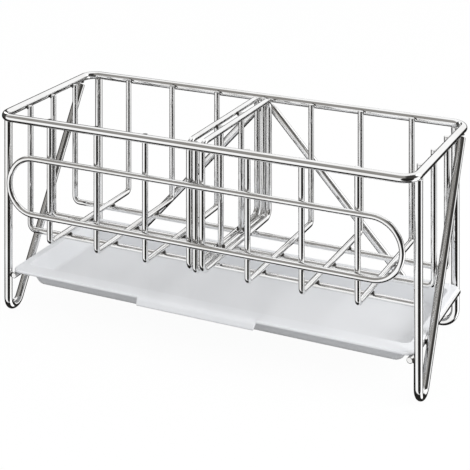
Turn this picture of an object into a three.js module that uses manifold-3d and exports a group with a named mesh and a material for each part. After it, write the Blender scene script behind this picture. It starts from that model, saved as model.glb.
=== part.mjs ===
import * as THREE from "three";
import { mergeVertices } from "three/addons/utils/BufferGeometryUtils.js";
import Module from "manifold-3d";

// A sink sponge holder: a welded wire rack, a lift-out divider and a sliding drip tray.
// Millimetres, +Z up, +Y to the back. The origin is on the counter, under the middle of the rack.

// Rack
const rimWidth = 240; // between the centre lines of the side runs
const rimDepth = 96; // between the centre lines of the front and back runs
const rackHeight = 114.5; // counter to the top of the rim
const rimCornerRadius = 8;
const frameWire = 4.5; // diameter of the rim, the legs and the rear frame
const basketWire = 3.2; // diameter of every other wire
const weldGap = 0.3; // what stays open between two wires where they are welded
const legFootRadius = 6;
const legTopInset = 10.2; // from the rim's back run to the tops of the front legs' diagonals
const legEndDrop = 1.25; // from the upper edge of a diagonal's cut end to its middle
const rearFootRadius = 8.2;
const rearApexRadius = 8;
const rearLegInset = 6.4; // from the side runs of the rim to the rear legs
const footFlat = 0.2; // how much is taken off flat under each foot

// Basket
const basketFloor = 46.7; // counter to where a sponge lies
const basketBendRadius = 3.5;
const crossWireEndRise = 1; // how far the cross wires' ends stand above the middle of the rim
const crossWireCount = 7; // spread evenly over the rim's width
const longWirePlaces = ["front", "middle", "rear"]; // spread evenly over its depth
const frontRailDrop = 36.5; // from the middle of the rim to the middle of the loop
const frontRailRise = 31.1; // between its upper and lower runs
const frontRailInset = 5.8; // from the side runs of the rim to the loop's ends

// Divider
const dividerClearance = 0.6; // to the middle cross wire and to the rim
const dividerRise = 0.6; // its upper bars above the middle of the rim
const dividerBendRadius = 5;
const dividerPostPitch = 26.6;

// Drip tray and its rails
const trayRailTop = 22.8; // counter to where the tray lies
const trayRailOverhang = 1.4; // how far the rails reach in front of the middle of the front legs
const traySideClearance = 0.45; // to the legs
const trayRestGap = 0.3; // to the rails under it and to the rear legs
const trayOverhang = 1.2; // how far the flange reaches in front of the middle of the front legs
const trayDepth = 9.6; // from the top of the flange to the floor inside
const trayWall = 1.6;
const sideFlange = 4.7;
const frontFlange = 9.7;
const rearFlange = 6.7;
const sideLean = 6; // how far the side walls lean in from the flange to the floor
const endLean = 3.2; // the same for the front and rear walls
const flangeCornerRadius = 5;
const basinCornerRadius = 4; // at the flange
const floorCornerRadius = 2;
const gripWidth = 70;
const gripReach = 2.1; // in front of the flange
const gripDrop = 4.4; // from the top of the flange down
const gripCornerRadius = 3; // seen from above

// Fineness of the faces
const frameWireSides = 12;
const basketWireSides = 10;
const bendSteps = 6; // to a quarter turn
const cornerSteps = 6;

const cutOverrun = 5; // how far a cutting block reaches past what it cuts

const wasm = await Module();
wasm.setup();

// Shared places
const frameRadius = frameWire / 2;
const basketRadius = basketWire / 2;
const rimLevel = rackHeight - frameRadius;
const rimHalfWidth = rimWidth / 2;
const rimHalfDepth = rimDepth / 2;
const frameEndLevel = rimLevel - frameRadius - weldGap;
const frontLegDepth = rimHalfDepth - rimCornerRadius; // the legs stand where the rim's bends end
const insideRim = frameRadius + weldGap + basketRadius; // rim to the wires welded inside it
const crossWireLevel = basketFloor - basketRadius;
const longWireLevel = crossWireLevel - basketWire - weldGap;
const crossWireHalfDepth = rimHalfDepth - insideRim;
const longWireHalfWidth = rimHalfWidth - insideRim;

// A wire's centre line through a row of bends, as a belt runs round pulleys. Each bend has a centre,
// a radius and a turn: 1 to the left, -1 to the right. Ends are bends with a radius of zero.
function centreLine(bends, closed) {
  const heading = (from, to) => {
    const across = to.centre.clone().sub(from.centre);
    const shift = to.turn * to.radius - from.turn * from.radius;
    return across.angle() - Math.asin(shift / across.length());
  };
  const fullTurn = 2 * Math.PI;
  const stations = [];
  bends.forEach((bend, i) => {
    const before = bends[(i + bends.length - 1) % bends.length];
    const after = bends[(i + 1) % bends.length];
    const isEnd = !closed && (i === 0 || i === bends.length - 1);
    const headingOut = i === bends.length - 1 && !closed ? heading(before, bend) : heading(bend, after);
    const headingIn = isEnd ? headingOut : heading(before, bend);
    const turned = bend.turn * ((((headingOut - headingIn) * bend.turn) % fullTurn) + fullTurn);
    const angle = isEnd ? 0 : turned % fullTurn;
    const steps = isEnd ? 0 : Math.ceil((Math.abs(angle) / (Math.PI / 2)) * bendSteps);
    for (let step = 0; step <= steps; step++) {
      const along = headingIn + (steps ? (angle * step) / steps : 0);
      const tangent = new THREE.Vector2(Math.cos(along), Math.sin(along));
      const arm = new THREE.Vector2(tangent.y, -tangent.x).multiplyScalar(bend.turn * bend.radius);
      stations.push({ point: bend.centre.clone().add(arm), tangent });
    }
  });
  if (closed) stations.push(stations[0]);
  return stations;
}

const end = (u, v) => ({ centre: new THREE.Vector2(u, v), radius: 0, turn: 1 });
const leftBend = (u, v, radius) => ({ centre: new THREE.Vector2(u, v), radius, turn: 1 });
const rightBend = (u, v, radius) => ({ centre: new THREE.Vector2(u, v), radius, turn: -1 });

// Planes that the wires are bent in
const acrossDepth = (x) => (u, v) => new THREE.Vector3(x, u, v);
const acrossWidth = (y) => (u, v) => new THREE.Vector3(u, y, v);
const level = (z) => (u, v) => new THREE.Vector3(u, v, z);

// A centre line in its plane, as a curve that is asked only at its stations.
class WirePath extends THREE.Curve {
  constructor(stations, toSpace) {
    super();
    const origin = toSpace(0, 0);
    this.points = stations.map(({ point }) => toSpace(point.x, point.y));
    this.tangents = stations.map(({ tangent }) => toSpace(tangent.x, tangent.y).sub(origin).normalize());
  }
  station(u) {
    return Math.round(u * (this.points.length - 1));
  }
  getPointAt(u, target = new THREE.Vector3()) {
    return target.copy(this.points[this.station(u)]);
  }
  getTangentAt(u, target = new THREE.Vector3()) {
    return target.copy(this.tangents[this.station(u)]);
  }
}

function bentWire(bends, toSpace, diameter, sides) {
  const extrudePath = new WirePath(centreLine(bends, false), toSpace);
  const corners = Array.from({ length: sides }, (_, i) => {
    const angle = (2 * Math.PI * (i + 1 / 2)) / sides;
    return new THREE.Vector2(Math.cos(angle), Math.sin(angle)).multiplyScalar(diameter / 2);
  });
  const steps = extrudePath.points.length - 1;
  return new THREE.ExtrudeGeometry(new THREE.Shape(corners), { steps, extrudePath, bevelEnabled: false });
}

function closedWire(bends, toSpace, diameter, sides) {
  const path = new WirePath(centreLine(bends, true), toSpace);
  return new THREE.TubeGeometry(path, path.points.length - 1, diameter / 2, sides, true);
}

// Boolean operations on closed meshes
function solidOf(geometry) {
  const bare = geometry.clone();
  bare.deleteAttribute("normal");
  bare.deleteAttribute("uv");
  const merged = mergeVertices(bare);
  const vertProperties = merged.attributes.position.array;
  const triVerts = new Uint32Array(merged.index.array);
  return new wasm.Manifold(new wasm.Mesh({ numProp: 3, vertProperties, triVerts }));
}

function geometryOf(solid) {
  const mesh = solid.getMesh();
  const geometry = new THREE.BufferGeometry();
  geometry.setAttribute("position", new THREE.BufferAttribute(mesh.vertProperties, 3));
  geometry.setIndex(new THREE.BufferAttribute(mesh.triVerts, 1));
  return geometry;
}

// Takes off what lies below the counter, which leaves a small flat under each foot.
function cutAtCounter(geometry) {
  geometry.computeBoundingBox();
  const size = geometry.boundingBox.getSize(new THREE.Vector3()).addScalar(cutOverrun);
  const middle = geometry.boundingBox.getCenter(new THREE.Vector3());
  const block = new THREE.BoxGeometry(size.x, size.y, cutOverrun);
  block.translate(middle.x, middle.y, -cutOverrun / 2);
  return geometryOf(solidOf(geometry).subtract(solidOf(block)));
}

// Materials
const polishedSteel = () =>
  new THREE.MeshStandardMaterial({ color: 0xd3d5d6, roughness: 0.16, metalness: 1 });
const whitePlastic = () =>
  new THREE.MeshStandardMaterial({ color: 0xeceef2, roughness: 0.42, metalness: 0 });

const holder = new THREE.Group();

function addPiece(name, geometry, material) {
  const piece = new THREE.Mesh(geometry, material);
  piece.name = name;
  holder.add(piece);
}

// A rounded rectangle of wire, as the bends at its four corners, run anticlockwise.
const cornerBends = (left, right, low, high, radius) => [
  leftBend(right - radius, low + radius, radius),
  leftBend(right - radius, high - radius, radius),
  leftBend(left + radius, high - radius, radius),
  leftBend(left + radius, low + radius, radius),
];

// Rim, legs and rear frame
function topRim() {
  const bends = cornerBends(-rimHalfWidth, rimHalfWidth, -rimHalfDepth, rimHalfDepth, rimCornerRadius);
  return closedWire(bends, level(rimLevel), frameWire, frameWireSides);
}

// Down at the front, round the foot and up to the rear end of the rim's side run.
function legWire(x) {
  const footLevel = frameRadius + legFootRadius - footFlat;
  const bends = [
    end(-frontLegDepth, frameEndLevel),
    leftBend(-frontLegDepth + legFootRadius, footLevel, legFootRadius),
    end(rimHalfDepth - legTopInset, frameEndLevel - legEndDrop),
  ];
  return cutAtCounter(bentWire(bends, acrossDepth(x), frameWire, frameWireSides));
}

// Down at the left, up to the apex under the middle of the rim and down again, as a W.
function rearFrame() {
  const legPlace = rimHalfWidth - rearLegInset;
  const footPlace = legPlace - rearFootRadius;
  const footLevel = frameRadius + rearFootRadius - footFlat;
  const bends = [
    end(-legPlace, frameEndLevel),
    leftBend(-footPlace, footLevel, rearFootRadius),
    rightBend(0, frameEndLevel - frameRadius - rearApexRadius, rearApexRadius),
    leftBend(footPlace, footLevel, rearFootRadius),
    end(legPlace, frameEndLevel),
  ];
  return cutAtCounter(bentWire(bends, acrossWidth(rimHalfDepth), frameWire, frameWireSides));
}

// A wire that hangs in the rim, runs along the basket's floor and rises to the rim again.
function hangingWire(halfSpan, floorLevel, endLevel, toSpace) {
  const bendPlace = halfSpan - basketBendRadius;
  const bendLevel = floorLevel + basketBendRadius;
  const bends = [
    end(-halfSpan, endLevel),
    leftBend(-bendPlace, bendLevel, basketBendRadius),
    leftBend(bendPlace, bendLevel, basketBendRadius),
    end(halfSpan, endLevel),
  ];
  return bentWire(bends, toSpace, basketWire, basketWireSides);
}

// The loop welded on the front of the cross wires
function frontRail() {
  const radius = frontRailRise / 2;
  const place = rimHalfWidth - frontRailInset - radius;
  const middleLevel = rimLevel - frontRailDrop;
  const bends = [leftBend(place, middleLevel, radius), leftBend(-place, middleLevel, radius)];
  const plane = acrossWidth(-crossWireHalfDepth - basketWire - weldGap);
  return closedWire(bends, plane, basketWire, basketWireSides);
}

// Wire under each side of the tray, from the front leg to the rear leg
function trayRail(x) {
  const railLevel = trayRailTop - basketRadius;
  const bends = [
    end(-frontLegDepth - trayRailOverhang, railLevel),
    end(rimHalfDepth - frameRadius - weldGap, railLevel),
  ];
  return bentWire(bends, acrossDepth(x), basketWire, basketWireSides);
}

// The place of one of several wires that share out a side of the rim evenly.
const evenly = (i, count, side) => side * ((i + 1) / (count + 1) - 1 / 2);

addPiece("top_rim", topRim(), polishedSteel());
addPiece("left_leg_wire", legWire(-rimHalfWidth), polishedSteel());
addPiece("right_leg_wire", legWire(rimHalfWidth), polishedSteel());
addPiece("rear_frame", rearFrame(), polishedSteel());
for (let i = 0; i < crossWireCount; i++) {
  const x = evenly(i, crossWireCount, rimWidth);
  const endLevel = rimLevel + crossWireEndRise;
  const wire = hangingWire(crossWireHalfDepth, crossWireLevel, endLevel, acrossDepth(x));
  addPiece(`cross_wire_${i + 1}`, wire, polishedSteel());
}
longWirePlaces.forEach((place, i) => {
  const plane = acrossWidth(evenly(i, longWirePlaces.length, rimDepth));
  const wire = hangingWire(longWireHalfWidth, longWireLevel, rimLevel, plane);
  addPiece(`long_wire_${place}`, wire, polishedSteel());
});
addPiece("front_rail", frontRail(), polishedSteel());
addPiece("tray_rail_left", trayRail(-longWireHalfWidth), polishedSteel());
addPiece("tray_rail_right", trayRail(longWireHalfWidth), polishedSteel());

// Divider: two loops astride the middle cross wire, joined by two posts
const dividerOffset = basketWire + dividerClearance;
const dividerTop = rimLevel + dividerRise;

function dividerLoop(x) {
  const halfDepth = rimHalfDepth - frameRadius - dividerClearance - basketRadius;
  const bends = cornerBends(-halfDepth, halfDepth, crossWireLevel, dividerTop, dividerBendRadius);
  return closedWire(bends, acrossDepth(x), basketWire, basketWireSides);
}

function dividerPost(y) {
  const bends = [end(y, basketFloor + dividerClearance), end(y, dividerTop)];
  return bentWire(bends, acrossDepth(0), basketWire, basketWireSides);
}

addPiece("divider_loop_left", dividerLoop(-dividerOffset), polishedSteel());
addPiece("divider_loop_right", dividerLoop(dividerOffset), polishedSteel());
addPiece("divider_post_front", dividerPost(-dividerPostPitch / 2), polishedSteel());
addPiece("divider_post_rear", dividerPost(dividerPostPitch / 2), polishedSteel());

// Drip tray
const flangeHalfWidth = rimHalfWidth - frameRadius - traySideClearance;
const flangeRear = rimHalfDepth - frameRadius - trayRestGap;
const flangeFront = -frontLegDepth - trayOverhang;
const flangeUnderside = trayRailTop + trayRestGap;
const flangeTop = flangeUnderside + trayWall;

// A closed line round the tray, drawn in from the flange's edge by the given widths.
function trayRing(z, side, front, rear, radius) {
  const halfWidth = flangeHalfWidth - side;
  const corners = cornerBends(-halfWidth, halfWidth, flangeFront + front, flangeRear - rear, radius);
  return corners.flatMap((corner, i) =>
    Array.from({ length: cornerSteps + 1 }, (_, step) => {
      const angle = (Math.PI / 2) * (i - 1 + step / cornerSteps);
      const x = corner.centre.x + radius * Math.cos(angle);
      const y = corner.centre.y + radius * Math.sin(angle);
      return new THREE.Vector3(x, y, z);
    }),
  );
}

// A closed skin over a row of rings with as many points each, with a lid on the first and the last.
function skinOver(rings) {
  const count = rings[0].length;
  const positions = rings.flat().flatMap((point) => point.toArray());
  const faces = THREE.ShapeUtils.triangulateShape(
    rings[0].map((point) => new THREE.Vector2(point.x, point.y)),
    [],
  );
  const last = (rings.length - 1) * count;
  const index = faces.flatMap(([a, b, c]) => [a, c, b, last + a, last + b, last + c]);
  for (let ring = 0; ring < rings.length - 1; ring++)
    for (let i = 0; i < count; i++) {
      const a = ring * count + i;
      const b = ring * count + ((i + 1) % count);
      index.push(a, b, b + count, a, b + count, a + count);
    }
  const skin = new THREE.BufferGeometry();
  skin.setAttribute("position", new THREE.Float32BufferAttribute(positions, 3));
  skin.setIndex(index);
  return skin;
}

// Up the outside, round the flange and down the inside.
function trayShell() {
  const floorLevel = flangeTop - trayDepth;
  const wallRing = (z, thickness) => {
    const depthShare = (flangeTop - z) / trayDepth;
    const side = sideFlange + sideLean * depthShare - thickness;
    const front = frontFlange + endLean * depthShare - thickness;
    const rear = rearFlange + endLean * depthShare - thickness;
    const radius = basinCornerRadius + (floorCornerRadius - basinCornerRadius) * depthShare + thickness;
    return trayRing(z, side, front, rear, radius);
  };
  return skinOver([
    wallRing(floorLevel - trayWall, trayWall),
    wallRing(flangeUnderside, trayWall),
    trayRing(flangeUnderside, 0, 0, 0, flangeCornerRadius),
    trayRing(flangeTop, 0, 0, 0, flangeCornerRadius),
    wallRing(flangeTop, 0),
    wallRing(floorLevel, 0),
  ]);
}

// The turned-down lip that a finger pulls: its section drawn out over its width, then cut to a plan
// with rounded front corners. The flange's front edge is at zero.
function grip() {
  const section = new THREE.Shape();
  section.moveTo(trayWall, 0);
  section.absarc(0, -gripReach, gripReach, Math.PI / 2, Math.PI, false);
  section.lineTo(-gripReach, -gripDrop);
  section.lineTo(trayWall - gripReach, -gripDrop);
  section.lineTo(trayWall - gripReach, -trayWall);
  section.lineTo(trayWall, -trayWall);
  const lip = new THREE.ExtrudeGeometry(section, {
    depth: gripWidth,
    bevelEnabled: false,
    curveSegments: cornerSteps,
  });
  lip.rotateX(Math.PI / 2);
  lip.rotateZ(Math.PI / 2);
  lip.translate(-gripWidth / 2, 0, 0);

  const cornerPlace = gripWidth / 2 - gripCornerRadius;
  const cornerLevel = gripCornerRadius - gripReach;
  const plan = new THREE.Shape();
  plan.moveTo(gripWidth / 2, gripCornerRadius);
  plan.lineTo(-gripWidth / 2, gripCornerRadius);
  plan.absarc(-cornerPlace, cornerLevel, gripCornerRadius, Math.PI, 1.5 * Math.PI, false);
  plan.absarc(cornerPlace, cornerLevel, gripCornerRadius, 1.5 * Math.PI, 2 * Math.PI, false);
  const block = new THREE.ExtrudeGeometry(plan, {
    depth: gripDrop,
    bevelEnabled: false,
    curveSegments: cornerSteps,
  });
  block.translate(0, 0, -gripDrop);
  return geometryOf(solidOf(lip).intersect(solidOf(block))).translate(0, flangeFront, flangeTop);
}

const dripTray = geometryOf(solidOf(trayShell()).add(solidOf(grip())));
addPiece("drip_tray", dripTray, whitePlastic());

export default holder;
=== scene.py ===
import math

import bmesh
import bpy
from mathutils import Matrix, Vector, noise


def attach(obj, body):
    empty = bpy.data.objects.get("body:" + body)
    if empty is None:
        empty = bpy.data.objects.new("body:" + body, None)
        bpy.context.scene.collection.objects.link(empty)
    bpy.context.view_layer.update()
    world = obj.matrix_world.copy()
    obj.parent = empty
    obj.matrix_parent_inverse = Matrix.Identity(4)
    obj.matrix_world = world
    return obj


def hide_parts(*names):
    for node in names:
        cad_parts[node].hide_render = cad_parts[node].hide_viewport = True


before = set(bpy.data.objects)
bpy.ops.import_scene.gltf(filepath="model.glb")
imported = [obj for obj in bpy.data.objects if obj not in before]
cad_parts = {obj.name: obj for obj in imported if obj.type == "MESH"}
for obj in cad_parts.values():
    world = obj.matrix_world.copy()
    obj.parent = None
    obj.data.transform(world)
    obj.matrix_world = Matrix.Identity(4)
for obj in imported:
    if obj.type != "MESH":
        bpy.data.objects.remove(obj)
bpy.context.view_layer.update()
scene = bpy.context.scene
mm = 0.001


def addObject(name, data):
    obj = bpy.data.objects.new(name, data)
    scene.collection.objects.link(obj)
    return obj


def addNode(tree, kind, values=None, **settings):
    node = tree.nodes.new(kind)
    for key, value in settings.items():
        setattr(node, key, value)
    for key, value in (values or {}).items():
        node.inputs[key].default_value = value
    return node


def remap(tree, source, fromLow, fromHigh, toLow, toHigh):
    node = addNode(tree, "ShaderNodeMapRange", interpolation_type="SMOOTHSTEP")
    for socket, value in zip(node.inputs[1:5], (fromLow, fromHigh, toLow, toHigh)):
        socket.default_value = value
    tree.links.new(source, node.inputs[0])
    return node.outputs[0]


def feed(tree, value, socket):
    if isinstance(value, bpy.types.NodeSocket):
        tree.links.new(value, socket)
    else:
        socket.default_value = value


def mathNode(tree, operation, a, b, clamp=False):
    node = addNode(tree, "ShaderNodeMath", operation=operation, use_clamp=clamp)
    feed(tree, a, node.inputs[0])
    feed(tree, b, node.inputs[1])
    return node.outputs[0]


# In the Mix node, sockets 6 and 7 take the two colours and output 2 gives the mixed one.
def mixColour(tree, factor, a, b):
    node = addNode(tree, "ShaderNodeMix", data_type="RGBA")
    feed(tree, factor, node.inputs[0])
    feed(tree, a, node.inputs[6])
    feed(tree, b, node.inputs[7])
    return node.outputs[2]


def addNoise(tree, place, scale, detail, distortion=0):
    cloud = addNode(tree, "ShaderNodeTexNoise", {"Scale": scale, "Detail": detail, "Distortion": distortion})
    tree.links.new(place, cloud.inputs["Vector"])
    return cloud.outputs["Fac"]


def addBump(tree, shader, relief, strength, height):
    bump = addNode(tree, "ShaderNodeBump", {"Strength": strength, "Distance": height * mm})
    tree.links.new(relief, bump.inputs["Height"])
    tree.links.new(bump.outputs["Normal"], shader.inputs["Normal"])


def startMaterial(name):
    material = bpy.data.materials.new(name)
    material.use_nodes = True
    return material, material.node_tree, material.node_tree.nodes["Principled BSDF"]


# What all the steels share. A band is the pair of noise values between which an effect sets in.
steelFinish = {
    "streakStretch": 0.04,
    "streakDetail": 3.0,
    "patchDetail": 4.0,
    "dullBand": (0.42, 0.72),
    "roughBand": (0.35, 0.7),
    "bumpStrength": 0.35,
}


# Drawn and polished stainless: streaks run along the wire, with faint cloudy patches from handling.
def makeSteel(name, look):
    material, tree, shader = startMaterial(name)
    link = tree.links.new
    wire = addNode(tree, "ShaderNodeAttribute", attribute_name="wireCoord")
    stretch = addNode(tree, "ShaderNodeMapping", {"Scale": (1, 1, steelFinish["streakStretch"])})
    link(wire.outputs["Vector"], stretch.inputs["Vector"])
    streaks = addNoise(tree, stretch.outputs["Vector"], look["streakScale"], steelFinish["streakDetail"])
    place = addNode(tree, "ShaderNodeTexCoord").outputs["Object"]
    patches = addNoise(tree, place, look["patchScale"], steelFinish["patchDetail"])
    dull = remap(tree, patches, *steelFinish["dullBand"], 0, 1)
    link(mixColour(tree, dull, look["tone"], look["dullTone"]), shader.inputs["Base Color"])
    cloudy = remap(tree, patches, *steelFinish["roughBand"], *look["roughness"])
    drawn = remap(tree, streaks, *steelFinish["roughBand"], 0, look["streakRoughness"])
    link(mathNode(tree, "ADD", cloudy, drawn, clamp=True), shader.inputs["Roughness"])
    addBump(tree, shader, streaks, steelFinish["bumpStrength"], look["streakHeight"])
    shader.inputs["Metallic"].default_value = 1
    return material


# Moulded plastic: a fine satin grain, a faint cloudiness and light scuffs, with painted shade that makes the
# basin's floor greyer than the walls and flange.
def makePlastic(name, look):
    material, tree, shader = startMaterial(name)
    link = tree.links.new
    place = addNode(tree, "ShaderNodeTexCoord").outputs["Object"]
    clouds = addNoise(tree, place, look["cloudScale"], look["cloudDetail"])
    cloudy = remap(tree, clouds, *look["cloudBand"], 0, 1)
    upper = mixColour(tree, cloudy, look["tone"], look["cloudTone"])
    axes = addNode(tree, "ShaderNodeSeparateXYZ")
    link(place, axes.inputs[0])
    # Painted shade: below these heights the tray takes the greyer floor colour, which stands in for the shade
    # in the basin.
    low, high = look["floorShadeHeights"]
    clearOfFloorShade = remap(tree, axes.outputs["Z"], low * mm, high * mm, 0, 1)
    link(mixColour(tree, clearOfFloorShade, look["paintedFloorShade"], upper), shader.inputs["Base Color"])
    grain = addNoise(tree, place, look["grainScale"], look["grainDetail"])
    satin = remap(tree, grain, *look["grainBand"], *look["roughness"])
    stretch = addNode(tree, "ShaderNodeMapping", {"Rotation": look["scuffTurn"], "Scale": look["scuffScale"]})
    link(place, stretch.inputs["Vector"])
    scuffs = addNoise(tree, stretch.outputs["Vector"], 1.0, look["scuffDetail"], look["scuffWarp"])
    scuffed = remap(tree, scuffs, *look["scuffBand"], 0, look["scuffRoughness"])
    link(mathNode(tree, "ADD", satin, scuffed, clamp=True), shader.inputs["Roughness"])
    addBump(tree, shader, grain, look["bumpStrength"], look["grainHeight"])
    shader.inputs["IOR"].default_value = look["ior"]
    return material


frameSteel = makeSteel("frameSteel", {
    "tone": (0.86, 0.86, 0.86, 1),
    "dullTone": (0.79, 0.785, 0.775, 1),
    "roughness": (0.04, 0.08),
    "streakScale": 2.2,
    "streakRoughness": 0.03,
    "streakHeight": 0.004,  # in mm, as are all heights
    "patchScale": 38.0,  # the smaller the number, the larger the patches
})
basketSteel = makeSteel("basketSteel", {
    "tone": (0.85, 0.85, 0.85, 1),
    "dullTone": (0.78, 0.775, 0.765, 1),
    "roughness": (0.03, 0.07),
    "streakScale": 3.0,
    "streakRoughness": 0.03,
    "streakHeight": 0.003,
    "patchScale": 55.0,
})
weldSteel = makeSteel("weldSteel", {
    "tone": (0.13, 0.125, 0.118, 1),
    "dullTone": (0.06, 0.056, 0.052, 1),
    "roughness": (0.25, 0.45),
    "streakScale": 1.0,
    "streakRoughness": 0.1,
    "streakHeight": 0.05,
    "patchScale": 400.0,
})
trayPlastic = makePlastic("trayPlastic", {
    "tone": (0.86, 0.872, 0.894, 1),
    "cloudTone": (0.845, 0.858, 0.881, 1),
    "cloudScale": 25.0,
    "cloudDetail": 3.0,
    "cloudBand": (0.35, 0.7),
    "paintedFloorShade": (0.82, 0.831, 0.851, 1),  # painted shade: the basin's floor is coloured greyer, standing in for the shade down in the basin
    "floorShadeHeights": (15.3, 16.9),  # where the floor's painted shade gives way to the wall's own tone
    "roughness": (0.34, 0.44),
    "grainScale": 900.0,
    "grainDetail": 2.0,
    "grainBand": (0.3, 0.7),
    "grainHeight": 0.02,
    "bumpStrength": 0.25,
    "scuffScale": (60, 900, 60),
    "scuffTurn": (0, 0, 0.5),
    "scuffDetail": 2.0,
    "scuffWarp": 0.4,
    "scuffBand": (0.62, 0.75),
    "scuffRoughness": 0.1,
    "ior": 1.46,
})
print("materials made")


# A wire's path is a row of bends joined by straight runs, as a belt runs round pulleys. A bend is
# (u, v, radius, turn) in the wire's plane, turn 1 to the left and -1 to the right. An end has no radius.
def heading(a, b):
    du, dv = b[0] - a[0], b[1] - a[1]
    return math.atan2(dv, du) - math.asin((b[3] * b[2] - a[3] * a[2]) / math.hypot(du, dv))


def layPath(bends, closed, stepAngle=math.radians(7.5)):
    stations = []
    last = len(bends) - 1
    for i, (u, v, radius, turn) in enumerate(bends):
        isEnd = not closed and i in (0, last)
        before, after = bends[i - 1], bends[(i + 1) % len(bends)]
        headOut = heading(before, bends[i]) if i == last and not closed else heading(bends[i], after)
        headIn = headOut if isEnd else heading(before, bends[i])
        angle = 0 if isEnd else turn * (((headOut - headIn) * turn) % (2 * math.pi))
        steps = math.ceil(abs(angle) / stepAngle)
        for step in range(steps + 1):
            along = headIn + (angle * step / steps if steps else 0)
            du, dv = math.cos(along), math.sin(along)
            stations.append(((u + dv * turn * radius, v - du * turn * radius), (du, dv)))
    return stations


def end(u, v):
    return (u, v, 0, 1)


def acrossDepth(x):
    return lambda u, v: Vector((x, u, v))


def acrossWidth(y):
    return lambda u, v: Vector((u, y, v))


def level(z):
    return lambda u, v: Vector((u, v, z))


# The rounded edge of a cut end: its length, then each ring's inset and how much thinner the wire is there.
cutEnd = {"length": 0.35, "rings": [(0.09, 0.05), (0, 0.35)]}


# Rings of the wire's section along its path, each with its middle, its direction, its radius and its
# distance along the wire.
def layRings(stations, radius, closed):
    rings = []
    travelled = 0
    for i, (point, way) in enumerate(stations):
        travelled += (point - stations[i - 1][0]).length if i else 0
        rings.append((point, way, radius, travelled))
    if not closed:
        (first, way, _, _), (final, finalWay, _, length) = rings[0], rings[-1]
        edge = cutEnd["length"]
        for inset, thinning in cutEnd["rings"]:
            rings.insert(0, (first + way * inset, way, radius - thinning, 0))
            rings.append((final - finalWay * inset, finalWay, radius - thinning, length))
        rings[2] = (first + way * edge, way, radius, edge)
        rings[-3] = (final - finalWay * edge, finalWay, radius, length - edge)
    return rings


# The streaks of the steel follow wireCoord: the place on the section, and how far along the wire.
def meshRings(name, rings, normal, radius, sides, closed):
    vertices, coords = [], []
    for point, way, ringRadius, along in rings:
        side = normal.cross(way)
        for k in range(sides):
            angle = 2 * math.pi * k / sides
            offset = side * math.cos(angle) + normal * math.sin(angle)
            place = point + offset * ringRadius
            place.z = max(place.z, 0)  # the flat under a foot
            vertices.append(place * mm)
            coords.append((math.cos(angle) * radius, math.sin(angle) * radius, along))
    faces, faceCoords = [], []
    count = len(rings)
    wholeLength = rings[-1][3] + (rings[0][0] - rings[-1][0]).length
    for ring in range(count if closed else count - 1):
        for k in range(sides):
            a, b = ring * sides + k, ring * sides + (k + 1) % sides
            nextRing = (ring + 1) % count * sides
            quad = (a, b, nextRing + (k + 1) % sides, nextRing + k)
            faces.append(quad)
            for vertex in quad:
                c = coords[vertex]
                wraps = closed and ring == count - 1 and vertex < sides
                faceCoords.append((c[0], c[1], wholeLength if wraps else c[2]))
    if not closed:
        for lid in (tuple(range(sides))[::-1], tuple(range((count - 1) * sides, count * sides))):
            faces.append(lid)
            faceCoords.extend(coords[vertex] for vertex in lid)
    mesh = bpy.data.meshes.new(name)
    mesh.from_pydata(vertices, [], faces)
    attribute = mesh.attributes.new("wireCoord", "FLOAT_VECTOR", "CORNER")
    attribute.data.foreach_set("vector", [value for coord in faceCoords for value in coord])
    mesh.polygons.foreach_set("use_smooth", [len(face) == 4 for face in faces])
    return mesh


def makeWire(name, nodeName, body, bends, plane, diameter, material, closed=False, sides=28):
    origin = plane(0, 0)
    normal = (plane(1, 0) - origin).cross(plane(0, 1) - origin)
    radius = diameter / 2
    stations = [(plane(*point), plane(*way) - origin) for point, way in layPath(bends, closed)]
    mesh = meshRings(name, layRings(stations, radius, closed), normal, radius, sides, closed)
    mesh.materials.append(material)
    mesh.update()
    wire = addObject(name, mesh)
    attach(wire, body)
    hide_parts(nodeName)


def roundedLoop(left, right, low, high, radius):
    return [
        (right - radius, low + radius, radius, 1),
        (right - radius, high - radius, radius, 1),
        (left + radius, high - radius, radius, 1),
        (left + radius, low + radius, radius, 1),
    ]


rack = {
    "halfWidth": 120,  # middle of the rim's side runs
    "halfDepth": 48,
    "rimLevel": 112.25,
    "cornerRadius": 8,
    "frameWire": 4.5,
    "basketWire": 3.2,
    "weldGap": 0.3,  # between welded wires, bridged by the weld spots
    "footFlat": 0.2,  # taken off under each foot
    "crossWires": [-90, -60, -30, 0, 30, 60, 90],
    "longWires": {"front": -24, "middle": 0, "rear": 24},
    "crossLevel": 45.1,
    "crossBend": 2.5,
    "longBend": 3.5,
    "legEndRun": 0.3,  # how far the legs' tops run into the rim
    "crossEndRise": 1,  # how far the cross wires end above the rim's middle
    "basketSides": 24,  # sides of the thin wires' section
}
w, d, top = rack["halfWidth"], rack["halfDepth"], rack["rimLevel"]
frameRadius, basketRadius = rack["frameWire"] / 2, rack["basketWire"] / 2
frameEnd = top - frameRadius + rack["legEndRun"]
inside = frameRadius + rack["weldGap"] + basketRadius  # from a thick wire's middle to a thin one's beside it
stacked = rack["basketWire"] + rack["weldGap"]  # from a thin wire's middle to the next one's
longLevel = rack["crossLevel"] - stacked
railDepth = -(d - inside) - stacked
rearStop = d - frameRadius - rack["weldGap"]

makeWire("rim_wire", "top_rim", "rack", roundedLoop(-w, w, -d, d, rack["cornerRadius"]), level(top),
         rack["frameWire"], frameSteel, closed=True)


def footBend(place, radius):
    return (place, radius + frameRadius - rack["footFlat"], radius, 1)


legs = {"frontDepth": -40, "footRadius": 6, "rearDepth": 37.8, "rearDrop": 1.85}
for side, x in (("left", -w), ("right", w)):
    bends = [
        end(legs["frontDepth"], frameEnd),
        footBend(legs["frontDepth"] + legs["footRadius"], legs["footRadius"]),
        end(legs["rearDepth"], frameEnd - legs["rearDrop"]),
    ]
    makeWire(f"{side}_leg", f"{side}_leg_wire", "rack", bends, acrossDepth(x), rack["frameWire"], frameSteel)

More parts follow.
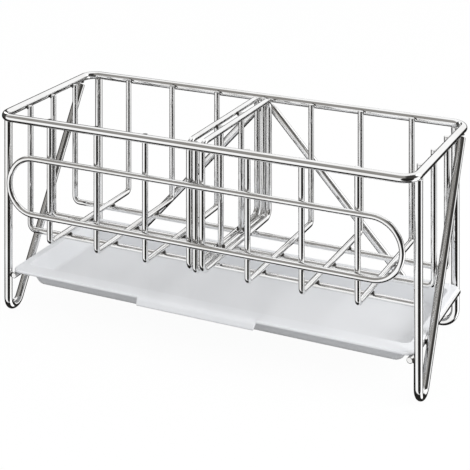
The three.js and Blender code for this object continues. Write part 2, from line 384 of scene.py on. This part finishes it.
rear = {"legPlace": 113.6, "footRadius": 8.2, "apexRadius": 8}
footPlace = rear["legPlace"] - rear["footRadius"]
makeWire("rear_frame_wire", "rear_frame", "rack", [
    end(-rear["legPlace"], frameEnd),
    footBend(-footPlace, rear["footRadius"]),
    (0, top - rack["frameWire"] - rack["weldGap"] - rear["apexRadius"], rear["apexRadius"], -1),
    footBend(footPlace, rear["footRadius"]),
    end(rear["legPlace"], frameEnd),
], acrossWidth(d), rack["frameWire"], frameSteel)


# A wire that hangs from the rim, crosses the floor of the basket and rises to the rim again.
def hangingBends(halfSpan, floorLevel, endLevel, bend):
    return [
        end(-halfSpan, endLevel),
        (-halfSpan + bend, floorLevel + bend, bend, 1),
        (halfSpan - bend, floorLevel + bend, bend, 1),
        end(halfSpan, endLevel),
    ]


for i, x in enumerate(rack["crossWires"], 1):
    bends = hangingBends(d - inside, rack["crossLevel"], top + rack["crossEndRise"], rack["crossBend"])
    makeWire(f"cross_bar_{i}", f"cross_wire_{i}", "rack", bends, acrossDepth(x), rack["basketWire"],
             basketSteel, sides=rack["basketSides"])
for place, y in rack["longWires"].items():
    bends = hangingBends(w - inside, longLevel, top, rack["longBend"])
    makeWire(f"long_bar_{place}", f"long_wire_{place}", "rack", bends, acrossWidth(y),
             rack["basketWire"], basketSteel, sides=rack["basketSides"])

rail = {"place": 98.65, "level": 75.75, "radius": 15.55}
makeWire("front_rail_wire", "front_rail", "rack", [
    (rail["place"], rail["level"], rail["radius"], 1),
    (-rail["place"], rail["level"], rail["radius"], 1),
], acrossWidth(railDepth), rack["basketWire"], basketSteel, closed=True, sides=rack["basketSides"])

trayRail = {"level": 21.2, "front": -40.9}
for side, x in (("left", -(w - inside)), ("right", w - inside)):
    bends = [end(trayRail["front"], trayRail["level"]), end(rearStop, trayRail["level"])]
    makeWire(f"tray_rail_{side}_wire", f"tray_rail_{side}", "rack", bends, acrossDepth(x),
             rack["basketWire"], basketSteel, sides=rack["basketSides"])
print("rack wires made")

divider = {
    "clearance": 0.6,  # to the middle cross wire
    "endClearance": 0.3,
    "top": 112.85,
    "bend": 5,
    "posts": 13.3,
}
dividerOffset = rack["basketWire"] + divider["clearance"]
dividerHalfDepth = d - inside - divider["endClearance"]
postFoot = rack["crossLevel"] + basketRadius + divider["clearance"]
for side, x in (("left", -dividerOffset), ("right", dividerOffset)):
    bends = roundedLoop(-dividerHalfDepth, dividerHalfDepth, rack["crossLevel"], divider["top"],
                        divider["bend"])
    makeWire(f"divider_bars_{side}", f"divider_loop_{side}", "divider", bends, acrossDepth(x),
             rack["basketWire"], basketSteel, closed=True, sides=rack["basketSides"])
for side, y in (("front", -divider["posts"]), ("rear", divider["posts"])):
    bends = [end(y, postFoot), end(y, divider["top"])]
    makeWire(f"divider_post_{side}_wire", f"divider_post_{side}", "divider", bends, acrossDepth(0),
             rack["basketWire"], basketSteel, sides=rack["basketSides"])
print("divider made")


# Small fused spots where wires are welded: lumpy lenses, thin along the way the wires face. A size is
# (half width, half thickness).
weld = {
    "spot": (1.35, 0.65),
    "floorSpot": (1.9, 0.95),
    "collar": (1.9, 0.5),
    "apexSpot": (1.9, 0.6),
    "lumpHeight": 0.18,
    "lumpScale": 1.7,
    "seedStep": (1, 0.37, 0),  # each spot takes its lumps from its own place in the noise
    "longDrop": 0.9,  # below the rim's middle
    "diagonal": {"depth": 38.9, "drop": 0.7, "lean": 0.25},  # where a leg's diagonal meets the rim
    "trayRailCrossing": -18.6,  # where a tray rail passes a leg's diagonal
    "trayRailRear": {"place": 115.1, "lean": 0.3},
    "dividerLevels": (112.2, 47.4),
}


def addWeld(bm, place, facing, size, seed):
    width, thickness = size
    spot = bmesh.ops.create_icosphere(bm, subdivisions=2, radius=1)["verts"]
    turn = Vector(facing).to_track_quat("Z", "Y").to_matrix()
    seedPlace = Vector([seed * step for step in weld["seedStep"]])
    for vertex in spot:
        lump = 1 + weld["lumpHeight"] * noise.noise(vertex.co * weld["lumpScale"] + seedPlace)
        shaped = Vector((vertex.co.x * width, vertex.co.y * width, vertex.co.z * thickness)) * lump
        vertex.co = (Vector(place) + turn @ shaped) * mm


def makeWelds(name, body, spots):
    bm = bmesh.new()
    for seed, (place, facing, size) in enumerate(spots):
        addWeld(bm, place, facing, size, seed)
    mesh = bpy.data.meshes.new(name)
    bm.to_mesh(mesh)
    bm.free()
    mesh.polygons.foreach_set("use_smooth", [True] * len(mesh.polygons))
    mesh.materials.append(weldSteel)
    welds = addObject(name, mesh)
    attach(welds, body)


crossings = rack["longWires"].values()
floorJoin = rack["crossLevel"] - stacked / 2
railJoin = railDepth + stacked / 2
rimJoin = frameRadius + rack["weldGap"] / 2
trayRailJoins = (legs["frontDepth"], weld["trayRailCrossing"])
diagonal, trayRailRear = weld["diagonal"], weld["trayRailRear"]
rackSpots = []
for x in rack["crossWires"]:
    rackSpots += [((x, y, top), (0, 1, 0), weld["spot"]) for y in (-d + rimJoin, d - rimJoin)]
    rackSpots += [((x, y, floorJoin), (0, 0, 1), weld["floorSpot"]) for y in crossings]
    rackSpots += [((x, railJoin, rail["level"] + rise), (0, 1, 0), weld["spot"])
                  for rise in (-rail["radius"], rail["radius"])]
for x in (-w + rimJoin, w - rimJoin):
    rackSpots += [((x, y, top - weld["longDrop"]), (1, 0, 0), weld["spot"]) for y in crossings]
    rackSpots += [((x, y, trayRail["level"]), (1, 0, 0), weld["spot"]) for y in trayRailJoins]
for x in (-w, w):
    rackSpots.append(((x, legs["frontDepth"], top - rimJoin), (0, 0, 1), weld["collar"]))
    rackSpots.append(((x, diagonal["depth"], frameEnd - diagonal["drop"]), (0, diagonal["lean"], 1),
                      weld["spot"]))
for side in (-1, 1):
    rackSpots.append(((side * rear["legPlace"], d, top - rimJoin), (0, 0, 1), weld["collar"]))
    rackSpots.append(((side * trayRailRear["place"], d - rimJoin, trayRail["level"]),
                      (side * trayRailRear["lean"], 1, 0), weld["spot"]))
rackSpots.append(((0, d, top - rimJoin), (0, 0, 1), weld["apexSpot"]))
makeWelds("rack_welds", "rack", rackSpots)
dividerSpots = [((side * dividerOffset / 2, y, z), (1, 0, 0), weld["spot"])
                for side in (-1, 1)
                for y in (-divider["posts"], divider["posts"])
                for z in weld["dividerLevels"]]
makeWelds("divider_welds", "divider", dividerSpots)
print("welds made")


tray = {
    "halfWidth": 117.3,
    "front": -41.2,
    "rear": rearStop,
    "top": 24.7,
    "wall": 1.6,
    "depth": 9.6,
    "flange": {"side": 4.7, "front": 9.7, "rear": 6.7},
    "lean": {"side": 6, "front": 3.2, "rear": 3.2},
    "cornerRadius": 5,
    "basinRadius": 4,
    "floorRadius": 2.4,
    "gripMiddle": -1.5,  # the grip sits a little to the left, as photographed
    "gripHalfWidth": 34.6,
    "gripBlend": 0.5,  # how far the grip's ends run out into the flange
    "flangePoints": [-80, -60, -45],  # along the front, mirrored on the right
    "gripPoints": [-30, -15],
    "undersideFillet": 2.2,
    "flangeFillet": 0.9,
    "brimFillet": 0.45,
    "floorFillet": 1.2,
    "floorMiddle": (0, 2),
    "floorShrink": 0.35,  # from the floor's outline to the ring inside it
}


# One closed line round the tray: corners, and points along the front that the grip needs.
def trayRing(side, front, rear, radius, z, arcSteps=12, blendSteps=8):
    halfWidth = tray["halfWidth"] - side
    low, high = tray["front"] + front, tray["rear"] - rear
    corners = [(halfWidth - radius, low + radius, -90), (halfWidth - radius, high - radius, 0),
               (-halfWidth + radius, high - radius, 90), (-halfWidth + radius, low + radius, 180)]
    ring = []
    for u, v, start in corners:
        for step in range(arcSteps + 1):
            angle = math.radians(start + 90 * step / arcSteps)
            ring.append(Vector((u + radius * math.cos(angle), v + radius * math.sin(angle), z)))
    reach = tray["gripHalfWidth"] + tray["gripBlend"]
    blend = [-reach + 2 * tray["gripBlend"] * step / blendSteps for step in range(blendSteps + 1)]
    leftXs = [*tray["flangePoints"], *blend, *tray["gripPoints"]]
    xs = [*leftXs, 0, *[-x for x in reversed(leftXs)]]
    ring += [Vector((x + tray["gripMiddle"], low, z)) for x in xs]
    return ring


def flangeRing(inset, z):
    return trayRing(inset, inset, inset, tray["cornerRadius"] - inset, z)


def wallRing(z, outward):
    share = (tray["top"] - z) / tray["depth"]
    insets = [tray["flange"][s] + tray["lean"][s] * share - outward for s in ("side", "front", "rear")]
    radius = tray["basinRadius"] + (tray["floorRadius"] - tray["basinRadius"]) * share + outward
    return trayRing(*insets, radius, z)


# The flange's edge, plain and where the grip turns down. A point is (inset, height from the top).
plainEdge = [(3, -1.6), (1.6, -1.6), (1.1, -1.6), (0.8, -1.6), (0.45, -1.52), (0.2, -1.35), (0.05, -1.1),
             (0, -0.8), (0.05, -0.5), (0.2, -0.25), (0.45, -0.08), (0.8, 0), (1.6, 0), (3.2, 0)]
gripEdge = [(3, -1.6), (0.4, -1.65), (-0.2, -1.9), (-0.5, -2.5), (-0.55, -3.9), (-0.75, -4.25), (-1.25, -4.4),
            (-1.8, -4.28), (-2.08, -3.9), (-1.98, -3.4), (-1.72, -3.0), (-1.3, -1.75), (-0.35, -0.55),
            (2.4, 0)]


def smoothShare(value):
    value = min(max(value, 0), 1)
    return value * value * (3 - 2 * value)


def edgeRing(plain, turned):
    ring = flangeRing(plain[0], tray["top"] + plain[1])
    low = tray["front"] + plain[0]
    for point in ring:
        if math.isclose(point.y, low, abs_tol=0.001):
            reach = tray["gripHalfWidth"] + tray["gripBlend"] - abs(point.x - tray["gripMiddle"])
            share = smoothShare(reach / (2 * tray["gripBlend"]))
            point.y += (turned[0] - plain[0]) * share
            point.z += (turned[1] - plain[1]) * share
    return ring


def filletSteps(radius, count=5):
    for step in range(count + 1):
        angle = math.pi / 2 * step / count
        yield radius * (1 - math.cos(angle)), radius * (1 - math.sin(angle))


trayFloor = tray["top"] - tray["depth"]
flangeUnderside = tray["top"] - tray["wall"]
rings = [wallRing(trayFloor - tray["wall"] + rise, tray["wall"] - inset)
         for rise, inset in filletSteps(tray["undersideFillet"])]
rings += [wallRing(flangeUnderside - inset, tray["wall"] + rise)
          for rise, inset in filletSteps(tray["flangeFillet"])]
rings += [edgeRing(plain, turned) for plain, turned in zip(plainEdge, gripEdge)]
rings += [wallRing(tray["top"] - rise, inset) for rise, inset in filletSteps(tray["brimFillet"])]
rings += [wallRing(trayFloor + inset, -rise) for rise, inset in filletSteps(tray["floorFillet"])]
middle = Vector((*tray["floorMiddle"], trayFloor))
rings.append([point.lerp(middle, tray["floorShrink"]) for point in rings[-1]])

bm = bmesh.new()
grid = [[bm.verts.new(point * mm) for point in ring] for ring in rings]
for lower, upper in zip(grid, grid[1:]):
    for k in range(len(lower)):
        following = (k + 1) % len(lower)
        bm.faces.new((lower[k], lower[following], upper[following], upper[k]))
bm.faces.new(grid[0][::-1])
bm.faces.new(grid[-1])
mesh = bpy.data.meshes.new("tray_shell")
bm.to_mesh(mesh)
bm.free()
mesh.polygons.foreach_set("use_smooth", [True] * len(mesh.polygons))
mesh.materials.append(trayPlastic)
trayShell = addObject("tray_shell", mesh)
evenNormals = trayShell.modifiers.new("evenNormals", "WEIGHTED_NORMAL")
evenNormals.weight = 80
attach(trayShell, "tray")
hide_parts("drip_tray")
print("tray made")


# Stage: a wide pale floor whose shadow stays faint to the camera.
paper = {
    "tone": (0.93, 0.93, 0.93, 1),
    "fibreTone": (0.91, 0.91, 0.91, 1),
    "fibreScale": 300.0,
    "fibreDetail": 2.0,
    "fibreBand": (0.3, 0.7),
    "bounceTone": (0.46, 0.46, 0.46, 1),  # what the floor throws back at the object
    "glow": 0.96,  # how much of the floor is plain white to the camera
    "roughness": 0.9,
    "halfSize": 3000,
    "drop": 0.05,  # below the feet
}


def makeFloor():
    material, tree, shader = startMaterial("floorPaper")
    link = tree.links.new
    place = addNode(tree, "ShaderNodeTexCoord").outputs["Object"]
    fibres = addNoise(tree, place, paper["fibreScale"], paper["fibreDetail"])
    shade = remap(tree, fibres, *paper["fibreBand"], 0, 1)
    sheet = mixColour(tree, shade, paper["tone"], paper["fibreTone"])
    cameraRay = addNode(tree, "ShaderNodeLightPath").outputs["Is Camera Ray"]
    link(mixColour(tree, cameraRay, paper["bounceTone"], sheet), shader.inputs["Base Color"])
    shader.inputs["Roughness"].default_value = paper["roughness"]
    shader.inputs["Specular IOR Level"].default_value = 0
    white = addNode(tree, "ShaderNodeEmission", {"Color": (1, 1, 1, 1), "Strength": 1.0})
    blend = addNode(tree, "ShaderNodeMixShader")
    link(mathNode(tree, "MULTIPLY", cameraRay, paper["glow"]), blend.inputs[0])
    link(shader.outputs[0], blend.inputs[1])
    link(white.outputs[0], blend.inputs[2])
    link(blend.outputs[0], tree.nodes["Material Output"].inputs["Surface"])
    mesh = bpy.data.meshes.new("floor")
    half = paper["halfSize"] * mm
    corners = [(-half, -half, 0), (half, -half, 0), (half, half, 0), (-half, half, 0)]
    mesh.from_pydata(corners, [], [(0, 1, 2, 3)])
    mesh.materials.append(material)
    floor = addObject("floor", mesh)
    floor.location.z = -paper["drop"] * mm
    floor.visible_glossy = False  # the wires show the studio round them instead


# The studio as the polished wires show it: white all round, a dim room in front, and dark gaps at the front
# right, at both sides and low behind, with two white boards and a lamp set over them. Later cards cover
# earlier ones. A card is round: turn is counted from the front to the right, rise from the horizon, and
# size from its middle to its edge, all in degrees.
studio = {
    "white": (1.1, 1.1, 1.1, 1),
    "room": {  # dim between low and high, and only in front: each pair is where it fades in or out
        "tone": (0.31, 0.3, 0.285, 1),
        "low": (0.165, 0.285),
        "high": (1.07, 0.91),
        "back": (0.1, -0.14),
    },
    "cards": [
        {"turn": 46, "rise": -11, "size": 38, "tone": (0.02, 0.019, 0.018, 1)},
        {"turn": -113.5, "rise": -5, "size": 46, "tone": (0.06, 0.058, 0.055, 1)},
        {"turn": 85, "rise": 36, "size": 37, "tone": (0.05, 0.048, 0.045, 1)},
        {"turn": 128.5, "rise": 29, "size": 17, "tone": (1.5, 1.5, 1.5, 1)},
        {"turn": -151.5, "rise": -60, "size": 68.5, "tone": (0.02, 0.019, 0.018, 1)},
        {"turn": -129, "rise": 25, "size": 8.5, "tone": (2.5, 2.5, 2.5, 1)},
        {"turn": 114, "rise": -38, "size": 22, "tone": (1.5, 1.5, 1.5, 1)},
    ],
    "edge": 4,  # half the width over which a card's edge fades
    "roomLight": 0.74,  # the plain light from all round, for all that isn't a reflection
}


def makeWorld():
    world = bpy.data.worlds.new("studio")
    world.use_nodes = True
    scene.world = world
    tree = world.node_tree
    link = tree.links.new
    place = addNode(tree, "ShaderNodeTexCoord").outputs["Generated"]
    axes = addNode(tree, "ShaderNodeSeparateXYZ")
    link(place, axes.inputs[0])
    room = studio["room"]
    covered = mathNode(tree, "MULTIPLY", remap(tree, axes.outputs["Z"], *room["low"], 0, 1),
                       remap(tree, axes.outputs["Z"], *room["high"], 0, 1))
    covered = mathNode(tree, "MULTIPLY", covered, remap(tree, axes.outputs["Y"], *room["back"], 0, 1))
    shown = mixColour(tree, covered, studio["white"], room["tone"])
    for card in studio["cards"]:
        turn, rise = math.radians(card["turn"]), math.radians(card["rise"])
        facing = addNode(tree, "ShaderNodeVectorMath", operation="DOT_PRODUCT")
        link(place, facing.inputs[0])
        facing.inputs[1].default_value = (math.sin(turn) * math.cos(rise), -math.cos(turn) * math.cos(rise),
                                          math.sin(rise))
        outer, inner = (math.cos(math.radians(card["size"] + side * studio["edge"])) for side in (1, -1))
        covered = remap(tree, facing.outputs["Value"], outer, inner, 0, 1)
        shown = mixColour(tree, covered, shown, card["tone"])
    path = addNode(tree, "ShaderNodeLightPath")
    plain = studio["roomLight"]
    seen = mixColour(tree, path.outputs["Is Glossy Ray"], (plain, plain, plain, 1), shown)
    link(mixColour(tree, path.outputs["Is Camera Ray"], seen, (1, 1, 1, 1)),
         tree.nodes["Background"].inputs["Color"])


softboxAim = (0, 0, 50)
softboxes = {
    "softboxFront": {"place": (0, -900, 850), "size": (1400, 700), "power": 2.4},
    "softboxRight": {"place": (1250, 100, 600), "size": (1200, 800), "power": 15},
    "softboxLeft": {"place": (-1200, 100, 500), "size": (1200, 700), "power": 2},
}


def addSoftbox(name, box):
    light = bpy.data.lights.new(name, "AREA")
    light.shape = "RECTANGLE"
    light.size, light.size_y = (side * mm for side in box["size"])
    light.energy = box["power"]
    lamp = addObject(name, light)
    lamp.location = Vector(box["place"]) * mm
    lamp.rotation_euler = (Vector(softboxAim) - Vector(box["place"])).to_track_quat("-Z", "Y").to_euler()
    lamp.visible_glossy = False


# The photograph was taken looking down, with the picture plane kept upright so that uprights stay
# parallel. The camera's stand is slanted in the same way.
shot = {"place": (317.4, -671.55, 340.1), "azimuth": 25.13, "lookDown": 21.41, "lens": 110.47, "sensor": 36}


def makeCamera():
    azimuth = math.radians(shot["azimuth"])
    right = Vector((math.cos(azimuth), math.sin(azimuth), 0))
    ahead = Vector((-math.sin(azimuth), math.cos(azimuth), -math.tan(math.radians(shot["lookDown"]))))
    slant = Matrix.Translation(Vector(shot["place"]) * mm).to_4x4()
    for column, axis in enumerate((right, Vector((0, 0, 1)), -ahead.normalized())):
        slant.col[column] = (*axis, 0)
    data = bpy.data.cameras.new("photoCamera")
    data.sensor_width = shot["sensor"]
    data.lens = shot["lens"]
    data.clip_start = 0.01
    camera = addObject("photoCamera", data)
    stand = addObject("cameraStand", None)
    camera.parent = stand
    camera.matrix_parent_inverse = slant
    scene.camera = camera


makeFloor()
makeWorld()
for name, box in softboxes.items():
    addSoftbox(name, box)
makeCamera()
scene.view_settings.view_transform = "Standard"
print("stage made")
